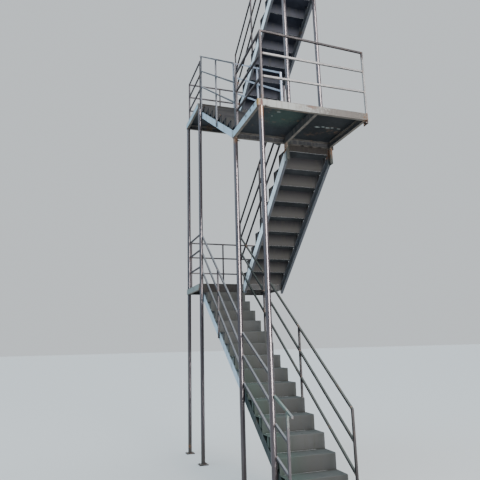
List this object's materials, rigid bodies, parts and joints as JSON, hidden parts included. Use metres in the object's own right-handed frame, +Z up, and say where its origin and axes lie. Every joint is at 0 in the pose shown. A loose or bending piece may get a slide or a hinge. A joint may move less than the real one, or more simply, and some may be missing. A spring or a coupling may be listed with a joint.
{
  "type": "fire escape stair",
  "caption": "Outdoor steel fire escape stair of straight flights in two lanes, with channel landings, round posts and three-rail railings, fixed to a wall.",
  "frame": {"origin": "centre of the underside of the base plate of the front near post, on the ground", "axes": "+X from the outer posts to the wall, +Y along the wall away from the foot of the stair, +Z up"},
  "size_m": [1.845, 5.548, 10.2231],
  "materials": {
    "frame_paint": "satin",
    "post_paint": "satin",
    "railing_paint": "satin",
    "step_plate": "satin",
    "deck_plate": "satin"
  },
  "bodies": {
    "root": {"flight_1_left_stringer": "frame_paint", "flight_1_lower_left_railing": "railing_paint", "flight_1_middle_left_railing": "railing_paint", "flight_1_right_railing": "railing_paint", "flight_1_right_stringer": "frame_paint", "flight_1_steps": "step_plate", "flight_1_upper_left_railing": "railing_paint", "flight_2_left_railing": "railing_paint", "flight_2_left_stringer": "frame_paint", "flight_2_right_stringer": "frame_paint", "flight_2_steps": "step_plate", "flight_3_left_railing": "railing_paint", "flight_3_left_stringer": "frame_paint", "flight_3_right_railing": "railing_paint", "flight_3_right_stringer": "frame_paint", "flight_3_steps": "step_plate", "flight_4_left_railing": "railing_paint", "flight_4_left_stringer": "frame_paint", "flight_4_right_stringer": "frame_paint", "flight_4_steps": "step_plate", "front_far_post": "post_paint", "front_landing_1_deck": "deck_plate", "front_landing_1_frame": "frame_paint", "front_landing_1_front_railing": "railing_paint", "front_landing_1_side_railing": "railing_paint", "front_landing_2_bracket": "frame_paint", "front_landing_2_deck": "deck_plate", "front_landing_2_frame": "frame_paint", "front_landing_2_front_railing": "railing_paint", "front_landing_2_side_railing": "railing_paint", "front_near_post": "post_paint", "rear_far_post": "post_paint", "rear_landing_1_deck": "deck_plate", "rear_landing_1_end_railing": "railing_paint", "rear_landing_1_frame": "frame_paint", "rear_landing_1_side_railing": "railing_paint", "rear_landing_2_deck": "deck_plate", "rear_landing_2_end_railing": "railing_paint", "rear_landing_2_frame": "frame_paint", "rear_landing_2_side_railing": "railing_paint", "rear_near_post": "post_paint", "upper_left_post": "post_paint", "upper_right_post": "post_paint"}
  },
  "joints": []
}
